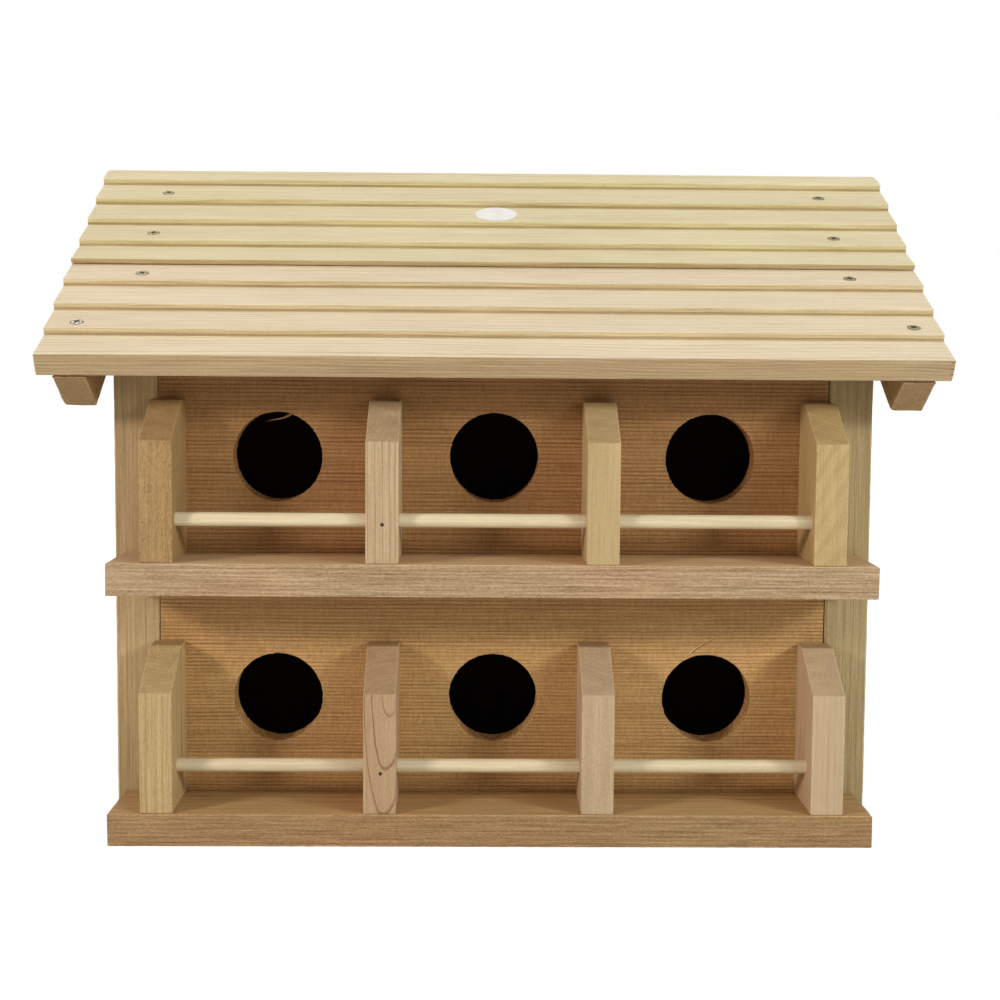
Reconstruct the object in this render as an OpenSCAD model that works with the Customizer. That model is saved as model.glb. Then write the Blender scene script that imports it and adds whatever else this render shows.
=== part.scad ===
// Purple martin birdhouse: two storeys, three rooms wide and two deep, between full-height
// end walls, with porches front and back under a gable roof of stepped boards.
// X runs along the house, Y from front to back, Z up. The origin is the middle of the
// underside of the base floor.

/* [Boxes] */
// outer length over the end walls
house_length = 534; // [400:0.1:700]
// outer depth over the front and back panels
house_depth = 371.4; // [300:0.1:500]
// thickness of floors, panels, porch boards and dividers
board = 22.2; // [12:0.1:30]
// thickness of the end walls
end_wall = 31; // [18:0.1:40]
// clear height of a storey between its floors
storey_height = 149.2; // [110:0.1:220]
// thickness of the partitions across the house
partition = 9.5; // [6:0.1:20]

/* [Porches] */
// length of a porch board, a little shorter than the walls
porch_length = 521.5; // [400:0.1:700]
// how far a porch board stands out in front of the wall
porch = 65.1; // [30:0.1:100]
// sideways place of the lower front porch board
lower_porch_shift = -1.4; // [-5:0.1:5]
// sideways place of the upper front porch board
upper_porch_shift = -0.7; // [-5:0.1:5]

/* [Entrances] */
// spacing of the rooms along the house
room_pitch = 152.4; // [120:0.1:200]
// diameter of an entrance hole
hole_diameter = 63; // [40:0.5:80]
// height of the hole centres above the floor of their storey
hole_height = 68.2; // [50:0.1:100]

/* [Porch dividers] */
// depth of a divider from the wall to its front face
divider_depth = 63.5; // [30:0.1:90]
// height of the upright front face
divider_front = 82.5; // [40:0.5:130]
// height of the top beside the wall
divider_back = 108.5; // [60:0.5:140]
// length of the level top beside the wall
divider_level = 19; // [5:0.5:40]
// places of the dividers along the lower front porch
lower_divider_x = [-229, -77.4, 71, 228];
// places of the dividers along the upper front porch
upper_divider_x = [-227.5, -76, 73, 226.5];

/* [Perches] */
// diameter of the perch dowels
dowel_diameter = 9.5; // [6:0.1:16]
// length of a perch dowel
dowel_length = 457.2; // [300:0.1:600]
// distance of the lower dowels in front of the wall
lower_dowel_out = 40.5; // [15:0.5:80]
// distance of the upper dowels in front of the wall
upper_dowel_out = 49.5; // [15:0.5:80]
// height of the dowel centre above the floor
dowel_height = 28.6; // [12:0.1:60]

/* [Roof] */
// length of the roof along the ridge
roof_length = 612.5; // [450:0.1:800]
// slope of the roof
roof_slope = 30; // [20:0.5:45]
// how far the top of the eave stands out in front of the wall
eave_out = 69.5; // [20:0.1:150]
// height of the top edge of the eave
eave_height = 333; // [250:0.5:500]
// full thickness of a roof board at a course edge
roof_thickness = 16.8; // [8:0.1:25]
// width of one course
course = 34.9; // [20:0.1:60]
// drop from one course to the next
course_step = 5; // [2:0.1:8]
// how far the upper board laps over the lower one
lap = 4.5; // [1:0.1:8]
// width of the lowest course of the upper board
first_course = 31.6; // [15:0.1:60]
// depth of a roof batten below the boards
batten_depth = 37; // [15:0.1:60]
// gap between an end wall and the batten beside it
batten_gap = 6.8; // [0.5:0.1:30]

/* [Hidden] */
$fn = 64;
half_depth = house_depth / 2;
inner_y = half_depth - board;
half_length = house_length / 2;
inner_x = half_length - end_wall;
lower_z = board;
shelf_z = board + storey_height;
upper_z = shelf_z + board;
partition_x = (2 * inner_x - 2 * partition) / 6 + partition / 2;
tan_s = tan(roof_slope);
cos_s = cos(roof_slope);
sin_s = sin(roof_slope);
eave_y = half_depth + eave_out;
under_top = eave_height + eave_y * tan_s - roof_thickness / cos_s;
fit = 0.1;
joint_s = 4 * course - lap;
lip = roof_thickness - course_step;
seam = 0.5;
butt_rise = 0.6;
ridge_fall = 1.4;
ridge_round = 1.3;

// height of the underside of the roof at a distance from the ridge line
function under_z(y) = under_top - abs(y) * tan_s;

// a floor between the end walls
module floor_board(z) {
  color([0.70, 0.52, 0.33])
    translate([-inner_x, -half_depth, z])
      cube([2 * inner_x, house_depth, board]);
}

// a porch board nailed to the front of the box at the level of a floor
module porch_board(z, shift) {
  color([0.68, 0.50, 0.32])
    translate([shift - porch_length / 2, -half_depth - porch, z])
      cube([porch_length, porch, board]);
}

// hole panel at the front, standing from z to a height, with its three entrances
module hole_panel(z, height) {
  difference() {
    translate([-inner_x, -half_depth, z])
      cube([2 * inner_x, board, height]);
    for (i = [-1:1])
      translate([i * room_pitch, -half_depth - 1, z + hole_height])
        rotate([-90, 0, 0])
          cylinder(h = board + 2, d = hole_diameter);
  }
}

// profile of a wall that rises under the slopes, drawn in Y and Z
module gable_profile(z, half) {
  polygon([
    [-half, z],
    [half, z],
    [half, under_z(half) - fit],
    [0, under_z(0) - fit],
    [-half, under_z(half) - fit]
  ]);
}

// stands a Y-Z profile up across the house, centred on x
module across(x, thick) {
  translate([x - thick / 2, 0, 0])
    rotate([90, 0, 90])
      linear_extrude(height = thick)
        children();
}

module right_end_wall() {
  color([0.66, 0.47, 0.30])
    across(inner_x + end_wall / 2, end_wall)
      gable_profile(0, half_depth);
}

module lower_partitions() {
  color([0.50, 0.36, 0.22]) union() {
    translate([-inner_x, -board / 2, lower_z])
      cube([2 * inner_x, board, storey_height]);
    for (side = [-1, 1])
      translate([side * partition_x - partition / 2, -inner_y, lower_z])
        cube([partition, 2 * inner_y, storey_height]);
  }
}

module upper_partitions() {
  color([0.50, 0.36, 0.22]) union() {
    translate([-inner_x, -board / 2, upper_z])
      cube([2 * inner_x, board, under_z(board / 2) - fit - upper_z]);
    for (side = [-1, 1])
      across(side * partition_x, partition)
        gable_profile(upper_z, inner_y);
  }
}

// porch divider at x on the front porch: upright front, sloped top, level back part
module divider(x, z, out) {
  difference() {
    across(x, board)
      polygon([
        [-half_depth, z],
        [-half_depth, z + divider_back],
        [-half_depth - divider_level, z + divider_back],
        [-half_depth - divider_depth, z + divider_front],
        [-half_depth - divider_depth, z]
      ]);
    perch_bore(z, out);
  }
}

// the bore for a perch, which passes through the inner dividers and ends in the outer ones
module perch_bore(z, out) {
  reach = dowel_length / 2 + fit;
  translate([-reach, -half_depth - out, z + dowel_height])
    rotate([0, 90, 0])
      cylinder(h = 2 * reach, d = dowel_diameter + 2 * fit);
}

module lower_divider(x) {
  color([0.66, 0.47, 0.29])
    divider(x, lower_z, lower_dowel_out);
}

module upper_divider(x) {
  color([0.66, 0.47, 0.29])
    divider(x, upper_z, upper_dowel_out);
}

module perch(z, out) {
  color([0.83, 0.68, 0.47])
    translate([-dowel_length / 2, -half_depth - out, z + dowel_height])
      rotate([0, 90, 0])
        cylinder(h = dowel_length, d = dowel_diameter);
}

// places a roof profile: its X runs up the slope from the eave, its Y is the height over
// the underside of the boards
module on_front_slope(x, length) {
  translate([x, 0, 0])
    rotate([90, 0, 90])
      linear_extrude(height = length)
        translate([-eave_y + roof_thickness * sin_s, eave_height - roof_thickness * cos_s])
          rotate(roof_slope)
            children();
}

// how far up the slope the plumb line under the ridge lies, at height t over the underside
function ridge_s(t) = (eave_y - roof_thickness * sin_s + t * sin_s) / cos_s;

// top edge of a milled board: courses of one width that start at s, each full height at its foot
function courses(s, count) = [
  for (i = [0:count - 1], top = [0, 1])
    top == 0 ? [s + i * course, roof_thickness] : [s + (i + 1) * course, lip]
];

// lower roof board: four courses, the top one thinned away under the upper board
module lower_roof_board() {
  color([0.85, 0.76, 0.60])
    on_front_slope(-roof_length / 2, roof_length)
      polygon(concat([[0, 0]], courses(0, 4), [[4 * course, 0]]));
}

// upper roof board: laps the lower one, and runs in courses to a plumb cut at the ridge
module upper_roof_board() {
  start = joint_s + first_course;
  crest = roof_thickness - ridge_fall;
  color([0.86, 0.78, 0.62])
    on_front_slope(-roof_length / 2, roof_length)
      polygon(concat(
        [
          [4 * course + fit, 0],
          [4 * course + fit, lip + seam],
          [joint_s, lip + course_step * lap / course + seam],
          [joint_s, roof_thickness + butt_rise],
          [start, lip]
        ],
        courses(start, 3),
        [
          [start + 3 * course, roof_thickness],
          [ridge_s(crest) - 3 * ridge_round, crest],
          [ridge_s(crest - ridge_round), crest - ridge_round],
          [ridge_s(0), 0]
        ]
      ));
}

// sloped batten under the right end of the front slope, mitred at both ends
module roof_batten() {
  foot = 0.5;
  top = ridge_s(0) - fit;
  cut = batten_depth * tan_s;
  color([0.60, 0.42, 0.26])
    on_front_slope(half_length + batten_gap, board)
      polygon([
        [foot, -fit],
        [top, -fit],
        [top - cut, -batten_depth],
        [foot + cut, -batten_depth]
      ]);
}

module lower_panel() {
  color([0.68, 0.48, 0.30]) hole_panel(lower_z, storey_height);
}

module upper_panel() {
  color([0.68, 0.48, 0.30]) hole_panel(upper_z, under_z(half_depth) - fit - upper_z);
}

module to_left() {
  mirror([1, 0, 0]) children();
}

module to_back() {
  mirror([0, 1, 0]) children();
}

// turns a front divider round to the back porch
module turned() {
  rotate([0, 0, 180]) children();
}

to_left() right_end_wall();  // end_wall_left
right_end_wall();  // end_wall_right
floor_board(0);  // base_floor
porch_board(0, lower_porch_shift);  // lower_front_porch_board
to_back() porch_board(0, 0);  // lower_back_porch_board
lower_panel();  // lower_front_panel
to_back() lower_panel();  // lower_back_panel
lower_partitions();  // lower_room_partitions
lower_divider(lower_divider_x[0]);  // lower_front_divider_1
lower_divider(lower_divider_x[1]);  // lower_front_divider_2
lower_divider(lower_divider_x[2]);  // lower_front_divider_3
lower_divider(lower_divider_x[3]);  // lower_front_divider_4
turned() lower_divider(1.5 * room_pitch);  // lower_back_divider_1
turned() lower_divider(0.5 * room_pitch);  // lower_back_divider_2
turned() lower_divider(-0.5 * room_pitch);  // lower_back_divider_3
turned() lower_divider(-1.5 * room_pitch);  // lower_back_divider_4
perch(lower_z, lower_dowel_out);  // lower_front_perch
to_back() perch(lower_z, lower_dowel_out);  // lower_back_perch
floor_board(shelf_z);  // middle_floor
porch_board(shelf_z, upper_porch_shift);  // upper_front_porch_board
to_back() porch_board(shelf_z, 0);  // upper_back_porch_board
upper_panel();  // upper_front_panel
to_back() upper_panel();  // upper_back_panel
upper_partitions();  // upper_room_partitions
upper_divider(upper_divider_x[0]);  // upper_front_divider_1
upper_divider(upper_divider_x[1]);  // upper_front_divider_2
upper_divider(upper_divider_x[2]);  // upper_front_divider_3
upper_divider(upper_divider_x[3]);  // upper_front_divider_4
turned() upper_divider(1.5 * room_pitch);  // upper_back_divider_1
turned() upper_divider(0.5 * room_pitch);  // upper_back_divider_2
turned() upper_divider(-0.5 * room_pitch);  // upper_back_divider_3
turned() upper_divider(-1.5 * room_pitch);  // upper_back_divider_4
perch(upper_z, upper_dowel_out);  // upper_front_perch
to_back() perch(upper_z, upper_dowel_out);  // upper_back_perch
to_left() roof_batten();  // roof_batten_front_left
roof_batten();  // roof_batten_front_right
to_back() to_left() roof_batten();  // roof_batten_back_left
to_back() roof_batten();  // roof_batten_back_right
lower_roof_board();  // roof_front_lower_board
upper_roof_board();  // roof_front_upper_board
to_back() lower_roof_board();  // roof_back_lower_board
to_back() upper_roof_board();  // roof_back_upper_board
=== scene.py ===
import math
import random

import bmesh
import bpy
from mathutils import Matrix, Vector, noise
from mathutils.bvhtree import BVHTree


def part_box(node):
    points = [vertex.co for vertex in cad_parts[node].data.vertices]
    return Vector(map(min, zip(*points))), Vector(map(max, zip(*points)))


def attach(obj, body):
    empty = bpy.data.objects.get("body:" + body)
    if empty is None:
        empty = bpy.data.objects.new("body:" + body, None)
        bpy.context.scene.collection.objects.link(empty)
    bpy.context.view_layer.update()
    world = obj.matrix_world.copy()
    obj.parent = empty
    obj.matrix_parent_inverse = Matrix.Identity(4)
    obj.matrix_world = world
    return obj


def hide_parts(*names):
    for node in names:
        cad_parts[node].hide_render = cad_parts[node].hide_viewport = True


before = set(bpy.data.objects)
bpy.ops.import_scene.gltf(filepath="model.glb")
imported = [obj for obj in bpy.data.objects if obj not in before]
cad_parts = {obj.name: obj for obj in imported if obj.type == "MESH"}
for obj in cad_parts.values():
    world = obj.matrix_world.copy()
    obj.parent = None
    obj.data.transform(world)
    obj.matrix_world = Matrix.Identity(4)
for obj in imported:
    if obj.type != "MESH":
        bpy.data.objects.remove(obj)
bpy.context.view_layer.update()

# ---------------------------------------------------------------------------------------
# The studio. A camera a little over a metre in front of the house, just above the height
# of the eave, five soft lamps, and a plain white floor that the house stands on.
MM = 0.001
camera = bpy.data.objects.new("camera", bpy.data.cameras.new("camera"))
bpy.context.scene.collection.objects.link(camera)
bpy.context.scene.camera = camera
camera.data.lens = 63.92
camera.data.sensor_width = 36
camera_turn = math.radians(0.97)
camera_dip = math.radians(5.07)
camera_roll = math.radians(0.42)
camera.matrix_world = (
    Matrix.Translation((-16.9 * MM, -1435.1 * MM, 342.8 * MM))
    @ Matrix.Rotation(-camera_turn, 4, "Z")
    @ Matrix.Rotation(math.radians(90) - camera_dip, 4, "X")
    @ Matrix.Rotation(camera_roll, 4, "Z")
)

house_middle = Vector((0, 0, 0.22))


def soft_lamp(name, place, width, height, power, colour=(1, 1, 1)):
    lamp = bpy.data.objects.new(name, bpy.data.lights.new(name, "AREA"))
    lamp.data.shape = "RECTANGLE"
    lamp.data.size = width
    lamp.data.size_y = height
    lamp.data.energy = power
    lamp.data.color = colour
    lamp.location = place
    lamp.rotation_euler = (house_middle - lamp.location).to_track_quat("-Z", "Y").to_euler()
    bpy.context.scene.collection.objects.link(lamp)


soft_lamp("lamp_left", (-1.7, -1.5, 1.0), 0.4, 0.4, 24.5, (1.0, 0.92, 0.87))
soft_lamp("lamp_right", (1.7, -1.5, 1.0), 0.4, 0.4, 20.9, (0.93, 1.0, 0.98))
soft_lamp("lamp_front", (1.25, -1.95, 0.85), 0.5, 0.6, 7.1, (0.90, 1.0, 0.97))
soft_lamp("lamp_top", (-0.1, 0.1, 2.4), 1.6, 1.2, 10.8, (1.0, 0.97, 0.92))
soft_lamp("lamp_behind", (0, 2.4, 1.2), 1.8, 0.9, 13)

bpy.context.scene.view_settings.view_transform = "Standard"


def add(tree, kind, inputs=None, **settings):
    """Puts a node in the tree. An input is a value, or the socket that feeds it."""
    made = tree.nodes.new("ShaderNode" + kind)
    for key, value in settings.items():
        setattr(made, key, value)
    for key, value in (inputs or {}).items():
        if isinstance(value, bpy.types.NodeSocket):
            tree.links.new(value, made.inputs[key])
        else:
            made.inputs[key].default_value = value
    return made


def seen_directly(tree):
    """1 where a camera, mirror or glass ray sees the surface, and 0 for the light it sends on."""
    path = add(tree, "LightPath")
    mirror = add(tree, "Math", {0: path.outputs["Is Camera Ray"],
                                1: path.outputs["Is Glossy Ray"]}, operation="MAXIMUM")
    both = add(tree, "Math", {0: mirror.outputs[0],
                              1: path.outputs["Is Transmission Ray"]}, operation="MAXIMUM")
    return both.outputs[0]


world = bpy.data.worlds.new("studio")
bpy.context.scene.world = world
world.use_nodes = True
sky = world.node_tree
sky.nodes.clear()
room_light = add(sky, "Background", {"Color": (1, 1, 1, 1), "Strength": 0.20})
white_wall = add(sky, "Background", {"Color": (1, 1, 1, 1), "Strength": 1.0})
either = add(sky, "MixShader", {0: seen_directly(sky), 1: room_light.outputs[0],
                                2: white_wall.outputs[0]})
add(sky, "OutputWorld", {"Surface": either.outputs[0]})

floor_mesh = bpy.data.meshes.new("studio_floor")
reach = 9  # metres
floor_mesh.from_pydata([(-reach, -reach, 0), (reach, -reach, 0), (reach, reach, 0),
                        (-reach, reach, 0)], [], [(0, 1, 2, 3)])
studio_floor = bpy.data.objects.new("studio_floor", floor_mesh)
bpy.context.scene.collection.objects.link(studio_floor)
floor_paint = bpy.data.materials.new("studio_floor")
floor_paint.use_nodes = True
paint = floor_paint.node_tree
paint.nodes.clear()
matt = add(paint, "BsdfDiffuse", {"Color": (0.82, 0.82, 0.82, 1)})
glow = add(paint, "Emission", {"Color": (1, 1, 1, 1), "Strength": 1.15})
away = add(paint, "VectorMath", {0: add(paint, "NewGeometry").outputs["Position"]},
           operation="LENGTH").outputs["Value"]
lit_up = add(paint, "MapRange", {"Value": away, "From Min": 0.4, "From Max": 1.1,
                                 "To Min": 0.82, "To Max": 1.0}).outputs[0]
share = add(paint, "Math", {0: seen_directly(paint), 1: lit_up}, operation="MULTIPLY")
blend = add(paint, "MixShader", {0: share.outputs[0], 1: matt.outputs[0], 2: glow.outputs[0]})
add(paint, "OutputMaterial", {"Surface": blend.outputs[0]})
floor_mesh.materials.append(floor_paint)

# ---------------------------------------------------------------------------------------
# The two end walls. Full-height cedar boards with the grain upright, sawn to the slope of
# the roof at the top. Their front and back edges show beside the panels.


def outlines(node, axis, high_side=True):
    """The loops around one flat side of a sawn piece, as lists of 2-D points in metres: the
    outer one first and turning left, then any holes, turning right."""
    u, v = [k for k in range(3) if k != axis]
    mesh = bmesh.new()
    mesh.from_mesh(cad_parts[node].data)
    bmesh.ops.remove_doubles(mesh, verts=mesh.verts, dist=1e-6)
    low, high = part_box(node)
    level = high[axis] if high_side else low[axis]
    side = {f for f in mesh.faces if all(abs(p.co[axis] - level) < 2e-5 for p in f.verts)}
    rim = [e for e in mesh.edges if sum(f in side for f in e.link_faces) == 1]
    loops = []
    while rim:
        edge = rim.pop()
        points = [edge.verts[0], edge.verts[1]]
        while points[-1] is not points[0]:
            edge = next(e for e in rim if points[-1] in e.verts)
            rim.remove(edge)
            points.append(edge.other_vert(points[-1]))
        flat = [Vector((p.co[u], p.co[v])) for p in points[:-1]]
        loops.append([p for i, p in enumerate(flat)
                      if (p - flat[i - 1]).normalized().dot(
                          (flat[(i + 1) % len(flat)] - p).normalized()) < 0.99999])
    mesh.free()

    def area(loop):
        return sum(p.x * loop[i - 1].y - p.y * loop[i - 1].x for i, p in enumerate(loop)) / -2

    loops.sort(key=lambda loop: -abs(area(loop)))
    return [loop if (area(loop) > 0) == (i == 0) else loop[::-1] for i, loop in enumerate(loops)]


def moved_in(loop, depths):
    """The loop with each point moved into the wood by its depth, mitred at the corners."""
    moved = []
    for i, p in enumerate(loop):
        before = (p - loop[i - 1]).normalized()
        after = (loop[(i + 1) % len(loop)] - p).normalized()
        left = Vector((-before.y - after.y, before.x + after.x)).normalized()
        spread = max(0.6, left.dot(Vector((-after.y, after.x))))
        moved.append(p + left * depths[i] / spread)
    return moved


def with_round_corners(loop, radius):
    """The loop with four points in place of each corner, and the places of the hollow corners."""
    made, hollows = [], []
    for i, p in enumerate(loop):
        back = (loop[i - 1] - p)
        on = (loop[(i + 1) % len(loop)] - p)
        cut = min(radius, back.length / 3, on.length / 3)
        start = p + back.normalized() * cut
        end = p + on.normalized() * cut
        if back.cross(on) > 0:
            hollows.append(p)
        made += [start, start.lerp(p, 0.58).lerp(end, 0.14),
                 end.lerp(p, 0.58).lerp(start, 0.14), end]
    return made, hollows


def in_steps(loop, step):
    """The loop with long edges divided, so that wear can vary along them."""
    made = []
    for i, p in enumerate(loop):
        on = loop[(i + 1) % len(loop)]
        count = max(1, round((on - p).length / step))
        made += [p.lerp(on, k / count) for k in range(count)]
    return made


def new_piece(name, mesh):
    """A piece from a bmesh, riding on the house."""
    data = bpy.data.meshes.new(name)
    mesh.to_mesh(data)
    mesh.free()
    piece = bpy.data.objects.new(name, data)
    bpy.context.scene.collection.objects.link(piece)
    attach(piece, "root")
    return piece


def sawn_piece(node, axis, ease=0.7, wear=0.14, step=5.0, lengths=1, high_side=True, ragged=0.0,
               corner=None, near_ends=()):
    """The board of a CAD node, made again with its arrises eased and a little worn. axis is the
    direction across its flat sides, and sizes are in millimetres. lengths is the number of
    stretches along that direction, with more cuts near_ends, corner rounds the outline where it
    differs from ease, and ragged is how far fibres stand off the rim of a hole."""
    low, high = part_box(node)
    shift = random.Random(node).uniform(0, 500)
    loops = outlines(node, axis, high_side)

    def uneven(p, along, scale):
        return noise.noise(Vector((p.x / MM, p.y / MM, along / MM)) / scale + Vector((shift, 0, 0)))

    shaped = []
    hollows = []
    for i, loop in enumerate(loops):
        if i and len(loop) > 12:
            centre = sum(loop, Vector((0, 0))) / len(loop)
            radius = sum((p - centre).length for p in loop) / len(loop)
            count = 168 if radius > 20 * MM else 28  # an entrance, or the bore for a perch
            turn = [-math.tau * k / count for k in range(count)]
            shaped.append([centre + radius * Vector((math.cos(t), math.sin(t))) for t in turn])
        else:
            rounded, hollow = with_round_corners(loop, (corner or ease) * MM)
            hollows += hollow
            shaped.append(in_steps(rounded, step * MM))

    depth = high[axis] - low[axis]
    soft = ease * MM
    levels = [(0, 1.0), (0.3, 0.3), (1.0, 0.0)]
    sections = [(low[axis] + soft * t, inset) for t, inset in levels]
    sections += [(low[axis] + cut * MM, 0.0) for cut in near_ends]
    sections += [(low[axis] + depth * k / lengths, 0.0) for k in range(1, lengths)]
    sections += [(high[axis] - cut * MM, 0.0) for cut in reversed(near_ends)]
    sections += [(high[axis] - soft * t, inset) for t, inset in reversed(levels)]

    mesh = bmesh.new()
    arris = mesh.faces.layers.float.new("arris")
    crease = mesh.faces.layers.float.new("crease")
    ends = {0: [], len(sections) - 1: []}
    for loop_number, loop in enumerate(shaped):
        rings = []
        for along, inset in sections:
            depths = []
            for p in loop:
                worn = wear * MM * max(0.0, 0.5 + 1.2 * uneven(p, along, 9.0))
                if loop_number and ragged:
                    fray = uneven(p, along * 3, 1.1) + 0.6 * uneven(p, along, 4.0)
                    worn = -ragged * MM * fray * (0.4 + 0.6 * abs(inset - 0.5) * 2)
                round_in = inset * soft * (1.0 + 0.7 * uneven(p, along, 6.0))
                if loop_number and ragged:
                    round_in *= 0.5
                depths.append(worn + round_in)
            moved = moved_in(loop, depths)
            u, v = [k for k in range(3) if k != axis]
            ring = []
            for p in moved:
                place = [0.0, 0.0, 0.0]
                place[axis], place[u], place[v] = along, p.x, p.y
                ring.append(mesh.verts.new(place))
            rings.append(ring)
        for number, (ring, following) in enumerate(zip(rings, rings[1:])):
            rounded = sections[number][1] + sections[number + 1][1] > 0
            for i in range(len(ring)):
                face = mesh.faces.new((ring[i - 1], ring[i], following[i], following[i - 1]))
                # the bore of a frayed hole is marked like an arris so that it renders paler:
                # painted light
                face[arris] = 1.0 if rounded or (loop_number and ragged) else 0.0
                centre = (loop[i - 1] + loop[i]) / 2
                # faces in hollow corners are marked for painted shade
                if any((centre - p).length < 1.1 * (corner or ease) * MM for p in hollows):
                    face[crease] = 1.0
        for end in ends:
            ring = rings[end]
            ends[end] += [mesh.edges.get((ring[i - 1], ring[i])) for i in range(len(ring))]
    for edges in ends.values():
        bmesh.ops.triangle_fill(mesh, edges=edges, use_beauty=True)
    bmesh.ops.recalc_face_normals(mesh, faces=mesh.faces)
    piece = new_piece(node + "_wood", mesh)
    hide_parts(node)
    return piece


def colour(red, green, blue):
    """A colour written as 0 to 255 on a screen, as the shader wants it."""
    def straight(c):
        c /= 255
        return c / 12.92 if c <= 0.04045 else ((c + 0.055) / 1.055) ** 2.4
    return (straight(red), straight(green), straight(blue), 1)


UPRIGHT = (Vector((0, 0, 1)), Vector((1, 0, 0)), Vector((0, 1, 0)))
LENGTHWISE = (Vector((1, 0, 0)), Vector((0, 1, 0)), Vector((0, 0, 1)))


def wood(piece, slot, grain, pale, dark, pith, ring, width=0.3, contrast=0.6, vary=0.5,
         uneven=0.6, wiggle=0.12, tilt=(0.0, 0.0), wander=3.0, fibre=1.0, fuzz=1.0, cross=0.0,
         cloud=0.08, blush=None, blush_share=0.5, side_shade=None, low_edge_shade=None):
    """Sawn wood. grain is the direction of the fibres and the two across them. pith is where
    the middle of the tree lay, in millimetres across the grain from the middle of the piece.
    ring is the width of a year, width the dark part of it, vary and uneven how much one year
    differs from the next in depth and in width. tilt leans the tree against the board, which
    gives arched figure. fibre and fuzz are fine streaks and torn flecks, cross is ray fleck,
    and blush a second colour in soft zones. The last two are painted shade: the first tints
    the faces that don't face up darker and leaves the streaks on those that do calmer, and the
    second darkens those faces further at the low edge: a place across the grain and a tint."""
    material = bpy.data.materials.new(piece.name)
    material.use_nodes = True
    tree = material.node_tree
    tree.nodes.clear()
    rng = random.Random(piece.name)
    middle = sum((Vector(c) for c in piece.bound_box), Vector()) / 8

    def calc(operation, a, b=0.0, c=0.0):
        return add(tree, "Math", {0: a, 1: b, 2: c}, operation=operation).outputs[0]

    def ease(value, start, end, low=0.0, high=1.0):
        return add(tree, "MapRange", {"Value": value, "From Min": start, "From Max": end,
                                      "To Min": low, "To Max": high},
                   interpolation_type="SMOOTHSTEP").outputs[0]

    def mixed(amount, first, second, mode="MIX"):
        return add(tree, "Mix", {0: amount, 6: first, 7: second}, data_type="RGBA",
                   blend_type=mode).outputs[2]

    spot = add(tree, "TexCoord").outputs["Object"]
    spot = add(tree, "VectorMath", {0: spot, 1: middle}, operation="SUBTRACT").outputs[0]
    spot = add(tree, "VectorMath", {0: spot, "Scale": 1 / MM}, operation="SCALE").outputs[0]
    along, across, up = [add(tree, "VectorMath", {0: spot, 1: axis},
                             operation="DOT_PRODUCT").outputs["Value"] for axis in grain]

    def figure(along_scale, across_scale, detail=1.0, rough=0.5):
        """Noise drawn out along the grain, mostly between -1 and 1. Scales are per millimetre."""
        shift = [rng.uniform(0, 90) for _ in range(3)]
        point = add(tree, "CombineXYZ", {
            0: calc("MULTIPLY_ADD", along, along_scale, shift[0]),
            1: calc("MULTIPLY_ADD", across, across_scale, shift[1]),
            2: calc("MULTIPLY_ADD", up, across_scale, shift[2])}).outputs[0]
        pattern = add(tree, "TexNoise", {"Vector": point, "Scale": 1.0, "Detail": detail,
                                         "Roughness": rough}).outputs[0]
        return calc("MULTIPLY", calc("SUBTRACT", pattern, 0.5), 3.2)

    # years: distance from the pith, wandering a little, cut into bands
    side_a = calc("MULTIPLY_ADD", along, -tilt[0], calc("SUBTRACT", across, pith[0]))
    side_b = calc("MULTIPLY_ADD", along, -tilt[1], calc("SUBTRACT", up, pith[1]))
    radius = calc("SQRT", calc("ADD", calc("MULTIPLY", side_a, side_a),
                               calc("MULTIPLY", side_b, side_b)))
    radius = calc("MULTIPLY_ADD", figure(0.005, 0.012), wander, radius)
    radius = calc("MULTIPLY_ADD", figure(0.04, 0.12), ring * wiggle, radius)
    years = calc("DIVIDE", radius, ring)
    pace = add(tree, "TexNoise", {"W": calc("MULTIPLY", years, 0.4), "Scale": 1.0, "Detail": 1.0},
               noise_dimensions="1D").outputs[0]
    years = calc("MULTIPLY_ADD", pace, uneven, years)
    part = calc("FRACT", years)
    late = calc("MULTIPLY", ease(part, 1 - 2 * width, 1 - width), ease(part, 0.95, 1.0, 1.0, 0.0))
    depth = add(tree, "TexWhiteNoise", {"W": calc("FLOOR", years)},
                noise_dimensions="1D").outputs[0]
    band = calc("MULTIPLY", late, calc("MULTIPLY_ADD", depth, vary, 1 - vary))
    band = calc("MULTIPLY", band, calc("MULTIPLY_ADD", figure(0.02, 0.05), 0.35, 0.8))
    band = calc("MULTIPLY", band, contrast)

    fine = figure(0.02, 0.9, 1.0, 0.6)
    torn = figure(0.45, 1.1, 2.0, 0.75)
    soft = figure(0.008, 0.03, 2.0)
    turned = add(tree, "NewGeometry").outputs["Normal"]
    facing_up = add(tree, "VectorMath", {0: turned, 1: Vector((0, 0, 1))},
                    operation="DOT_PRODUCT").outputs["Value"]
    shade = calc("MULTIPLY", fine, 0.16 * fibre)
    shade = calc("MULTIPLY_ADD", torn, 0.16 * fuzz, shade)
    if side_shade:
        shade = calc("MULTIPLY", shade, ease(facing_up, 0.35, 0.75, 1.0, 0.55))
    shade = calc("MULTIPLY_ADD", soft, cloud, shade)
    if cross:
        shade = calc("MULTIPLY_ADD", figure(0.7, 0.12, 1.0), 0.16 * cross, shade)
    shade = calc("MAXIMUM", calc("ADD", shade, 1.0), 0.3)

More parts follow.
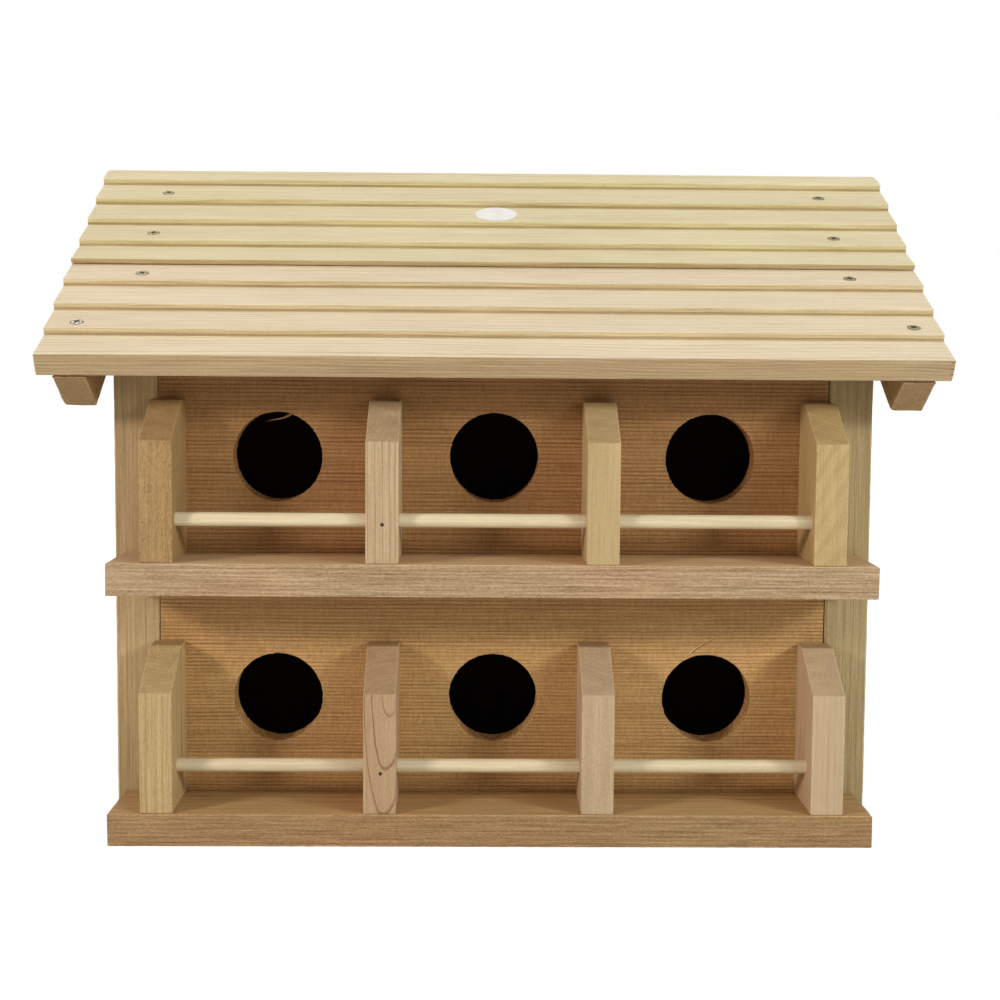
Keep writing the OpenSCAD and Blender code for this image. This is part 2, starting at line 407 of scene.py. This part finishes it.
    endways = calc("ABSOLUTE", add(tree, "VectorMath", {0: turned, 1: grain[0]},
                                   operation="DOT_PRODUCT").outputs["Value"])
    tint = mixed(calc("MULTIPLY", band, ease(endways, 0.4, 0.7, 1.0, 0.45)), pale, dark)
    if blush:
        zone = calc("MULTIPLY", ease(figure(0.007, 0.014), -0.35, 0.8), blush_share)
        tint = mixed(zone, tint, mixed(1.0, tint, blush, "MULTIPLY"))
    # painted shade: the faces that don't face up take the first tint, and those at the low edge the
    # second too
    if side_shade:
        under = mixed(1.0, tint, side_shade, "MULTIPLY")
        if low_edge_shade:
            under = mixed(ease(across, low_edge_shade[0], low_edge_shade[0] + 3), mixed(1.0, under, low_edge_shade[1], "MULTIPLY"),
                          under)
        tint = mixed(ease(facing_up, 0.35, 0.75), under, tint)
    # the darker a streak is, the redder
    streak = add(tree, "CombineColor", {0: shade, 1: calc("POWER", shade, 1.15),
                                        2: calc("POWER", shade, 1.4)}).outputs[0]
    tint = mixed(1.0, tint, streak, "MULTIPLY")

    # end grain drinks the light, and worn arrises are paler and fuzzy; the bores of the entrances
    # carry the same mark, and their paling is painted light
    tint = mixed(ease(endways, 0.8, 0.97), tint,
                 mixed(1.0, tint, (0.72, 0.66, 0.58, 1), "MULTIPLY"))
    worn = add(tree, "Attribute", attribute_name="arris").outputs["Fac"]
    worn = calc("MULTIPLY", worn, ease(torn, -0.7, 0.7, 0.1, 1.0))
    tint = mixed(worn, tint, mixed(1.0, tint, (1.22, 1.24, 1.28, 1), "MULTIPLY"))
    # painted shade in hollow corners, such as the foot of each step of the roof
    foot = add(tree, "Attribute", attribute_name="crease").outputs["Fac"]
    tint = mixed(foot, tint, mixed(1.0, tint, (0.64, 0.57, 0.49, 1), "MULTIPLY"))

    relief = calc("MULTIPLY_ADD", torn, 0.7 * fuzz, calc("MULTIPLY_ADD", fine, 0.5 * fibre,
                                                         calc("MULTIPLY", band, -0.5)))
    bump = add(tree, "Bump", {"Height": relief, "Distance": 0.2 * MM, "Strength": 0.6}).outputs[0]
    dull = calc("MULTIPLY_ADD", torn, 0.05, 0.68)
    shader = add(tree, "BsdfPrincipled", {"Base Color": tint, "Roughness": dull, "Normal": bump,
                                          "Specular IOR Level": 0.25}).outputs[0]
    add(tree, "OutputMaterial", {"Surface": shader})
    piece.data.materials.clear()
    piece.data.materials.append(material)


X, Y, Z = 0, 1, 2
for side, pith, pale, dark in (
        ("left", (-160, 60), colour(189, 161, 118), colour(143, 104, 64)),
        ("right", (140, 90), colour(177, 153, 112), colour(133, 99, 60))):
    wall = sawn_piece(f"end_wall_{side}", X, ease=1.1, wear=0.2, step=4)
    wood(wall, "cedar", UPRIGHT, pale, dark, pith, 3.0, width=0.14, contrast=0.55, vary=0.8,
         uneven=1.0, wander=1.0, wiggle=0.06, fibre=1.35, fuzz=0.9, cloud=0.08,
         blush=(0.90, 0.94, 0.86, 1), blush_share=0.6)

# ---------------------------------------------------------------------------------------
# Floors and porch boards. Rough-sawn cedar, 7/8 in thick. The two floors close the rooms
# from below, and the porch boards are nailed to the front and back at the same levels.
for node in ("base_floor", "middle_floor"):
    floor = sawn_piece(node, Z, ease=0.7, step=12)
    wood(floor, "cedar", LENGTHWISE, colour(176, 140, 100), colour(138, 100, 64), (60, 90), 4.5)

PORCH_LOOKS = {
    "lower_front_porch_board": (colour(193, 157, 108), colour(122, 86, 50), (40, -90), 2.4),
    "upper_front_porch_board": (colour(215, 183, 140), colour(144, 107, 71), (30, 80), 2.2),
    "lower_back_porch_board": (colour(193, 157, 108), colour(122, 86, 50), (-44, -80), 2.3),
    "upper_back_porch_board": (colour(215, 183, 140), colour(144, 107, 71), (-36, 84), 2.5),
}
for node, (pale, dark, pith, ring) in PORCH_LOOKS.items():
    porch = sawn_piece(node, Z, ease=0.9, wear=0.3, step=4)
    # the fronts take a darker tint than the tops: painted shade
    wood(porch, "cedar", LENGTHWISE, pale, dark, pith, ring, width=0.3, contrast=0.38, vary=0.6,
         wiggle=0.15, wander=1.5, fibre=2.2, fuzz=2.1, cloud=0.08,
         blush=(1.06, 0.92, 0.86, 1), blush_share=0.5, side_shade=(0.69, 0.67, 0.69, 1))

# ---------------------------------------------------------------------------------------
# Hole panels. Quarter-sawn red cedar, so that the years run as close straight lines from
# end to end, with three 2 1/2 in entrances whose rims are frayed by the hole saw.
PANEL_LOOKS = {
    "lower_front_panel": (colour(195, 153, 98), colour(130, 84, 45), (-40, 260), 2.6),
    "upper_front_panel": (colour(170, 126, 79), colour(111, 68, 34), (30, 300), 2.8),
    "lower_back_panel": (colour(195, 153, 98), colour(130, 84, 45), (20, -280), 2.65),
    "upper_back_panel": (colour(170, 127, 79), colour(111, 69, 35), (-30, -260), 2.7),
}
for node, (pale, dark, pith, ring) in PANEL_LOOKS.items():
    panel = sawn_piece(node, Y, ease=0.5, step=8, ragged=0.5)
    low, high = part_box(node)
    for point in panel.data.vertices:  # the ends stop just short of the end walls
        if point.co.x > high.x - 1.5 * MM:
            point.co.x -= 0.6 * MM
        elif point.co.x < low.x + 1.5 * MM:
            point.co.x += 0.3 * MM
    wood(panel, "cedar", LENGTHWISE, pale, dark, pith, ring, width=0.28, vary=0.5, uneven=0.45,
         contrast=0.68 if "lower" in node else 0.8, wiggle=0.08, wander=0.8, fibre=1.2, fuzz=1.5,
         cross=0.7, cloud=0.04)

# ---------------------------------------------------------------------------------------
# Room partitions. Thin plain cedar boards halved over each other, one grid a storey, which
# keep the six rooms of a storey apart. They are only met through the entrances, and are
# coloured far darker than cedar: painted shade for the dark inside the rooms.
for node in ("lower_room_partitions", "upper_room_partitions"):
    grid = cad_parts[node]
    wood(grid, "inner_cedar", UPRIGHT, colour(58, 44, 30), colour(42, 31, 22), (40, 160), 4.0)

# ---------------------------------------------------------------------------------------
# Porch dividers. Short lengths of 7/8 in cedar stood on end and nailed between the rooms,
# each from another board: some straight in the grain, some with arched figure.
DIVIDER_LOOKS = {
    "upper_front_divider_1": dict(pale=(171, 138, 92), dark=(136, 101, 62), pith=(60, 70),
                                  ring=3.2, contrast=0.3, fuzz=2.5, fibre=0.9, wander=1.5),
    "upper_front_divider_2": dict(pale=(192, 164, 128), dark=(128, 90, 56), pith=(-150, 30),
                                  ring=4.0, width=0.1, contrast=0.75, vary=0.3, uneven=0.8,
                                  wander=1.2, wiggle=0.06, fibre=1.1, fuzz=0.9),
    "upper_front_divider_3": dict(pale=(193, 166, 120), dark=(161, 128, 83), pith=(30, 160),
                                  ring=5.0, contrast=0.3, fibre=0.8, fuzz=0.6),
    "upper_front_divider_4": dict(pale=(189, 160, 110), dark=(151, 114, 69), pith=(26, 46),
                                  ring=3.4, contrast=0.4, tilt=(0.22, 0.12), wander=1.0,
                                  wiggle=0.06, fibre=0.8, fuzz=0.8),
    "lower_front_divider_1": dict(pale=(192, 164, 116), dark=(143, 106, 64), pith=(-120, 40),
                                  ring=3.1, width=0.2, contrast=0.55, vary=0.7, uneven=1.0,
                                  wander=1.0, fibre=1.2, fuzz=1.2),
    "lower_front_divider_2": dict(pale=(186, 153, 118), dark=(125, 84, 55), pith=(6, -42),
                                  ring=5.2, width=0.08, contrast=0.9, vary=0.3, uneven=0.5,
                                  tilt=(0.05, 0.15), wander=0.5, wiggle=0.05, fibre=0.8,
                                  fuzz=1.0),
    "lower_front_divider_3": dict(pale=(193, 166, 133), dark=(160, 126, 92), pith=(60, 120),
                                  ring=4.0, contrast=0.3, fuzz=1.2, fibre=0.7),
    "lower_front_divider_4": dict(pale=(197, 169, 135), dark=(167, 134, 97), pith=(-140, 40),
                                  ring=3.6, contrast=0.3, fibre=0.5, fuzz=0.4),
}
for node, look in list(DIVIDER_LOOKS.items()):
    look_behind = dict(look)
    look_behind["pith"] = (-look["pith"][0] + 6, -look["pith"][1])
    DIVIDER_LOOKS[node.replace("front", "back")] = look_behind
for node, look in DIVIDER_LOOKS.items():
    low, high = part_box(node)
    divider = sawn_piece(node, X, ease=0.9, wear=0.25, step=3, lengths=4,
                         high_side=low.x + high.x > 0)
    look = dict(look)
    pale, dark = colour(*look.pop("pale")), colour(*look.pop("dark"))
    wood(divider, "cedar", UPRIGHT, pale, dark, look.pop("pith"), look.pop("ring"), **look)

# ---------------------------------------------------------------------------------------
# Perches. One 3/8 in birch dowel a porch, let into the two outer dividers and through the
# two inner ones. They are smooth and pale.


def dowel(node, around=32, stretches=90):
    """A round rod between the ends of the CAD node, with a faint turned waviness."""
    low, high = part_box(node)
    radius = (high.z - low.z) / 2
    y, z = (low.y + high.y) / 2, (low.z + high.z) / 2
    mesh = bmesh.new()
    rings = []
    edge = 0.5 * MM
    places = [(low.x, radius - edge), (low.x + edge, radius)]
    places += [(low.x + (high.x - low.x) * k / stretches, radius) for k in range(1, stretches)]
    places += [(high.x - edge, radius), (high.x, radius - edge)]
    for x, size in places:
        size -= 0.05 * MM * abs(noise.noise(Vector((x * 90, z * 40, y * 20))))
        turns = [math.tau * k / around for k in range(around)]
        rings.append([mesh.verts.new((x, y + size * math.cos(t), z + size * math.sin(t)))
                      for t in turns])
    for ring, following in zip(rings, rings[1:]):
        for i in range(around):
            mesh.faces.new((ring[i - 1], ring[i], following[i], following[i - 1])).smooth = True
    mesh.faces.new(rings[0])
    mesh.faces.new(rings[-1])
    bmesh.ops.recalc_face_normals(mesh, faces=mesh.faces)
    piece = new_piece(node + "_wood", mesh)
    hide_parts(node)
    return piece


for node in ("lower_front_perch", "upper_front_perch", "lower_back_perch", "upper_back_perch"):
    perch = dowel(node)
    wood(perch, "pale_dowel", LENGTHWISE, colour(228, 210, 174), colour(198, 174, 134), (90, 40),
         3.0, contrast=0.35, fibre=0.6, fuzz=0.35)

# ---------------------------------------------------------------------------------------
# Roof battens. Four cedar strips under the ends of the roof, outside the end walls, with
# both ends mitred. The roof boards are screwed down to them.
slope = math.radians(30)
UP_THE_SLOPE = {"front": Vector((0, math.cos(slope), math.sin(slope))),
                "back": Vector((0, -math.cos(slope), math.sin(slope)))}
OUT_OF_THE_SLOPE = {"front": Vector((0, -math.sin(slope), math.cos(slope))),
                    "back": Vector((0, math.sin(slope), math.cos(slope)))}


def reshaped(piece, moved):
    """Moves each point of the piece to where the function puts it."""
    for point in piece.data.vertices:
        point.co = moved(point.co.copy())


def rounded_off(p, corner_x, corner_z, radius):
    """The point, brought inside a rounding of the corner where x and z end."""
    way_x, way_z = (1 if c > 0 else -1 for c in (corner_x[1], corner_z[1]))
    off_x = (p.x - corner_x[0]) * way_x + radius
    off_z = (p.z - corner_z[0]) * way_z + radius
    off = math.hypot(off_x, off_z)
    if off_x > 0 and off_z > 0 and off > radius:
        p.x += way_x * off_x * (radius / off - 1)
        p.z += way_z * off_z * (radius / off - 1)
    return p


for way in ("front", "back"):
    for side in ("left", "right"):
        batten = sawn_piece(f"roof_batten_{way}_{side}", X, ease=1.1, wear=0.3, step=3, lengths=6)
        wood(batten, "cedar", (UP_THE_SLOPE[way], Vector((1, 0, 0)), OUT_OF_THE_SLOPE[way]),
             colour(181, 149, 106), colour(143, 106, 66), (30, 60), 2.4, contrast=0.5, fuzz=2.2,
             fibre=1.6)
        low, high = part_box(f"roof_batten_{way}_{side}")
        out = OUT_OF_THE_SLOPE[way]
        top = max(p.co.dot(out) for p in batten.data.vertices)
        foot = min(p.co.dot(UP_THE_SLOPE[way]) for p in batten.data.vertices)

        def fitted(p):
            """The foot stands a little off the board, and its lower corner is knocked round."""
            if p.dot(out) > top - 1.5 * MM:
                p -= out * 1.3 * MM * max(0, 1 - (p.dot(UP_THE_SLOPE[way]) - foot) / 0.09)
            return rounded_off(p, (low.x, -1), (low.z, -1), 3.5 * MM)

        reshaped(batten, fitted)

# ---------------------------------------------------------------------------------------
# Roof boards. Two boards of pale pine a slope, milled in courses like bevel siding and
# planed smooth. The upper one laps the lower, and the two slopes meet plumb at the ridge.
ROOF_LOOKS = {
    "roof_front_lower_board": (colour(238, 221, 191), (-150, -140), 2.2),
    "roof_front_upper_board": (colour(235, 222, 184), (160, -120), 2.6),
    "roof_back_lower_board": (colour(238, 221, 191), (-145, -150), 2.3),
    "roof_back_upper_board": (colour(235, 222, 184), (150, -125), 2.5),
}
for node, (pale, pith, ring) in ROOF_LOOKS.items():
    way = node.split("_")[1]
    boards = sawn_piece(node, X, ease=0.7, wear=0.18, step=7, lengths=60, corner=1.5,
                        near_ends=(1.4, 2.4, 3.6, 5.0, 7.0))
    low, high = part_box(node)
    if "upper" in node:
        reshaped(boards, lambda p: rounded_off(p, (high.x, 1), (high.z, 1), 5 * MM))
        reshaped(boards, lambda p: rounded_off(p, (low.x, -1), (high.z, 1), 3.5 * MM))
    else:
        reshaped(boards, lambda p: rounded_off(p, (high.x, 1), (low.z, -1), 3 * MM))
        reshaped(boards, lambda p: rounded_off(p, (low.x, -1), (low.z, -1), 2 * MM))
    # the faces that don't face up are tinted darker, and the front of the eave darker still near
    # its low edge: painted shade
    wood(boards, "roof_pine", (Vector((1, 0, 0)), UP_THE_SLOPE[way], OUT_OF_THE_SLOPE[way]),
         pale, colour(196, 164, 116), pith, ring, contrast=0.5, vary=0.8, wander=3, wiggle=0.15,
         fibre=1.1, fuzz=0.6, cloud=0.05, side_shade=(0.79, 0.76, 0.65, 1),
         low_edge_shade=(-66, (0.74, 0.65, 0.59, 1)))

# ---------------------------------------------------------------------------------------
# Roof screws. Countersunk steel screws with a cross recess, eight a slope: three at each end
# into the end walls and the lowest into the battens. Some sit deeper or are dirtier.


EAVE_RISE = 14.5  # from the lowest edge of the eave up to where its top face starts


def on_the_roof(way, x, up):
    """The point on top of a slope at x and so far up from the eave, and the way out there."""
    low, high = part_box(f"roof_{way}_lower_board")
    eave = Vector((0, low.y if way == "front" else high.y, low.z + EAVE_RISE * MM))
    start = eave + UP_THE_SLOPE[way] * up + OUT_OF_THE_SLOPE[way] * (50 * MM)
    start.x = x
    for part in ("upper", "lower"):
        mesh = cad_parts[f"roof_{way}_{part}_board"].data
        tree = BVHTree.FromPolygons([p.co for p in mesh.vertices],
                                    [f.vertices for f in mesh.polygons])
        place, out = tree.ray_cast(start, -OUT_OF_THE_SLOPE[way])[:2]
        if place:
            return place, out


def facing(piece, place, out, turn=0.0):
    """Lays a piece that was made flat around its origin against a surface."""
    against = out.to_track_quat("Z", "Y").to_matrix().to_4x4()
    piece.data.transform(Matrix.Translation(place) @ against @ Matrix.Rotation(turn, 4, "Z"))


def plain(piece, tone, stain_and_shade, scale, rough, metallic=0.0, bump=0.0):
    """A material with soft blotches: dirt on metal, marks on paper, and patches in the painted
    shade of screw recesses, screw rims and nail holes.
    """
    material = bpy.data.materials.new(piece.name)
    material.use_nodes = True
    tree = material.node_tree
    tree.nodes.clear()
    spot = add(tree, "TexCoord").outputs["Object"]
    soft = add(tree, "TexNoise", {"Vector": spot, "Scale": scale, "Detail": 3.0}).outputs[0]
    amount = add(tree, "MapRange", {"Value": soft, "From Min": 0.4, "From Max": 0.65}).outputs[0]
    tint = add(tree, "Mix", {0: amount, 6: tone, 7: stain_and_shade}, data_type="RGBA").outputs[2]
    dull = add(tree, "Math", {0: soft, 1: 0.3, 2: rough - 0.15},
               operation="MULTIPLY_ADD").outputs[0]
    lumps = add(tree, "Bump", {"Height": soft, "Distance": 0.1 * MM, "Strength": bump}).outputs[0]
    shader = add(tree, "BsdfPrincipled", {"Base Color": tint, "Roughness": dull, "Normal": lumps,
                                          "Metallic": metallic}).outputs[0]
    add(tree, "OutputMaterial", {"Surface": shader})
    piece.data.materials.append(material)


def screw_head(name, radius=3.9, proud=0.5):
    """A flat head with a softened rim and a cross recess, made around the origin."""
    mesh = bmesh.new()
    turns = [math.tau * k / 40 for k in range(40)]
    levels = [(radius, -0.6), (radius, proud * 0.5), (radius - 0.2, proud * 0.9),
              (radius - 0.5, proud)]
    rings = [[mesh.verts.new((r * MM * math.cos(t), r * MM * math.sin(t), h * MM)) for t in turns]
             for r, h in levels]
    for ring, following in zip(rings, rings[1:]):
        for i in range(40):
            mesh.faces.new((ring[i - 1], ring[i], following[i], following[i - 1])).smooth = True
    arm, half = 2.7 * MM, 0.6 * MM
    cross = [(arm, -half), (arm, half), (half * 1.5, half * 1.5), (half, arm), (-half, arm),
             (-half * 1.5, half * 1.5), (-arm, half), (-arm, -half), (-half * 1.5, -half * 1.5),
             (-half, -arm), (half, -arm), (half * 1.5, -half * 1.5)]
    mouth = [mesh.verts.new((x, y, proud * MM)) for x, y in cross]
    bottom = [mesh.verts.new((x * 0.8, y * 0.8, 0.12 * MM)) for x, y in cross]
    for i in range(12):
        wall = mesh.faces.new((mouth[i - 1], mouth[i], bottom[i], bottom[i - 1]))
        wall.material_index = 1
    floor = mesh.faces.new(bottom)
    floor.material_index = 1
    edges = [mesh.edges.get((ring[i - 1], ring[i])) for ring in (rings[-1], mouth)
             for i in range(len(ring))]
    bmesh.ops.triangle_fill(mesh, edges=edges, use_beauty=True)
    bmesh.ops.recalc_face_normals(mesh, faces=mesh.faces)
    return new_piece(name, mesh)


def painted_shade_ring(name, inner, outer):
    """A thin ring of painted shade around a screw, standing in for the shadow of its countersink,
    or a filled one of painted shade for a nail hole, made around the origin."""
    mesh = bmesh.new()
    turns = [math.tau * k / 40 for k in range(40)]
    rings = []
    for r, h in ((inner, 0.03), ((inner + outer) / 2, 0.12), (outer, 0.02)):
        rings.append([mesh.verts.new((r * MM * (1 + 0.05 * math.sin(5 * t + r)) * math.cos(t),
                                      r * MM * (1 + 0.05 * math.sin(3 * t)) * math.sin(t), h * MM))
                      for t in turns])
    for ring, following in zip(rings, rings[1:]):
        for i in range(40):
            mesh.faces.new((ring[i - 1], ring[i], following[i], following[i - 1]))
    bmesh.ops.recalc_face_normals(mesh, faces=mesh.faces)
    return new_piece(name, mesh)


BRASSY, GREY = colour(206, 192, 150), colour(232, 228, 212)
DARK_STEEL, SUNK = colour(158, 146, 106), colour(214, 206, 166)
SCREWS = [
    (-252.3, 251, BRASSY, 0.4), (-253.7, 182, BRASSY, 0.5), (-252.2, 118, SUNK, 0.3),
    (-285.6, 46, GREY, 0.6), (253.8, 251, DARK_STEEL, 0.4), (254.5, 182, DARK_STEEL, 0.4),
    (255.4, 118, DARK_STEEL, 0.3), (287.4, 47, DARK_STEEL, 0.5),
]
for way, side in (("front", 1), ("back", -1)):
    for number, (x, up, tone, proud) in enumerate(SCREWS, 1):
        place, out = on_the_roof(way, x * side * MM, up * MM)
        head = screw_head(f"roof_screw_{way}_{number}", proud=proud)
        facing(head, place, out, turn=0.7 * number)
        plain(head, tone, colour(136, 124, 90), 700, 0.5, metallic=0.35, bump=0.2)
        # the cross recess is coloured near black: painted shade
        plain(head, colour(14, 13, 10), colour(24, 20, 15), 700, 0.9)
        # a dark ring around each head: painted shadow of its countersink
        ring = painted_shade_ring(f"roof_screw_{way}_{number}_rim", 3.8, 4.7)
        facing(ring, place, out, turn=number)
        plain(ring, colour(150, 132, 92), colour(104, 92, 58), 500, 0.8, bump=0.3)

# ---------------------------------------------------------------------------------------
# Sticker. A plain round paper sticker, 32 mm across and left blank. It is stuck to the front
# slope, midway along and three quarters of the way up, and its upper rim has lifted a little.
mesh = bmesh.new()
turns = [math.tau * k / 64 for k in range(64)]
levels = [(16.0, 0.02), (16.0, 0.16), (15.6, 0.24), (12.0, 0.2), (6.0, 0.17)]
rings = []
for r, h in levels:
    at_the_rim = r > 14 and h > 0.1
    lifts = [0.12 * max(0, math.sin(t + 0.6)) if at_the_rim else 0 for t in turns]
    rings.append([mesh.verts.new((r * MM * math.cos(t), r * MM * math.sin(t), (h + lift) * MM))
                  for t, lift in zip(turns, lifts)])
for ring, following in zip(rings, rings[1:]):
    for i in range(64):
        mesh.faces.new((ring[i - 1], ring[i], following[i], following[i - 1]))
mesh.faces.new(rings[-1])
bmesh.ops.recalc_face_normals(mesh, faces=mesh.faces)
sticker = new_piece("roof_sticker", mesh)
place, out = on_the_roof("front", 1.7 * MM, 219 * MM)
facing(sticker, place, out)
plain(sticker, colour(252, 251, 248), colour(243, 241, 235), 160, 0.5, bump=0.15)

# ---------------------------------------------------------------------------------------
# Small marks of making and handling in the bare wood: nail holes in two divider fronts, a
# splinter left in the upper left entrance by the hole saw, nicks at the right end of the eave,
# and a scratch over the lower right entrance.
ROOM_PITCH, HOLE_HEIGHT = 152.4, 68.2  # hole to hole, and from the foot of a panel


def sliver(name, start, end, width, depth=0.3):
    """A thin torn fibre from one point to another on the front, widest near its root."""
    mesh = bmesh.new()
    run = (end - start).normalized()
    aside = Vector((-run.z, 0, run.x))
    rings = []
    for k in range(7):
        t = k / 6
        centre = start.lerp(end, t) + aside * width * 0.5 * MM * math.sin(5 * t)
        half = width * MM * (1 - t) ** 0.7 / 2 + 0.03 * MM
        rings.append([mesh.verts.new(centre + aside * half), mesh.verts.new(
            centre + Vector((0, -depth * MM, 0))), mesh.verts.new(centre - aside * half)])
    for ring, following in zip(rings, rings[1:]):
        for i in range(3):
            mesh.faces.new((ring[i - 1], ring[i], following[i], following[i - 1]))
    mesh.faces.new(rings[0])
    mesh.faces.new(rings[-1])
    bmesh.ops.recalc_face_normals(mesh, faces=mesh.faces)
    return new_piece(name, mesh)


for node, x, z, size in (("upper_front_divider_2", 0.2, 26.8, 1.3),
                         ("lower_front_divider_2", 0.6, 28.2, 1.2)):
    low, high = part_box(node)
    # a dark disc in place of the nail hole: painted shade
    nail = painted_shade_ring(f"nail_hole_{node}", 0.02, size)
    facing(nail, Vector(((low.x + high.x) / 2 + x * MM, low.y + 0.02 * MM, low.z + z * MM)),
           Vector((0, -1, 0)))
    plain(nail, colour(44, 32, 20), colour(70, 50, 32), 900, 0.9)

low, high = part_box("upper_front_panel")
hole = Vector((-ROOM_PITCH * MM, low.y + 3 * MM, low.z + HOLE_HEIGHT * MM))
splinter = sliver("entrance_splinter", hole + Vector((10, 0, 30.2)) * MM,
                  hole + Vector((-8, -1.5, 23.5)) * MM, 1.6, 0.8)
wood(splinter, "cedar", LENGTHWISE, colour(176, 132, 96), colour(120, 82, 52), (20, 40), 2.0)

low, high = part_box("roof_front_lower_board")
for number, (along, up) in enumerate(((3.4, 13), (4.2, 8.5), (2.6, 5))):
    lean = (EAVE_RISE - up) * math.tan(slope) - 0.05
    corner = Vector((high.x - along * MM, low.y + lean * MM, low.z + up * MM))
    nick = sliver(f"eave_nick_{number}", corner + Vector((along - 0.3, 0, 0.4)) * MM, corner,
                  0.7, 0.12)
    wood(nick, "roof_pine", LENGTHWISE, colour(120, 92, 60), colour(90, 66, 40), (20, 40), 2.0)

low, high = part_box("lower_front_panel")
hole = Vector((ROOM_PITCH * MM, low.y, low.z + HOLE_HEIGHT * MM))
for name, shift, tone in (("panel_scratch", 0.0, colour(104, 70, 36)),
                          ("panel_scratch_edge", 0.9, colour(222, 190, 146))):
    scratch = sliver(name, hole + Vector((-11 - shift, -0.05, 32.5)) * MM,
                     hole + Vector((5 - shift, -0.05, 43.5)) * MM, 0.9, 0.3)
    wood(scratch, "cedar", LENGTHWISE, tone, tone, (20, 40), 2.0)
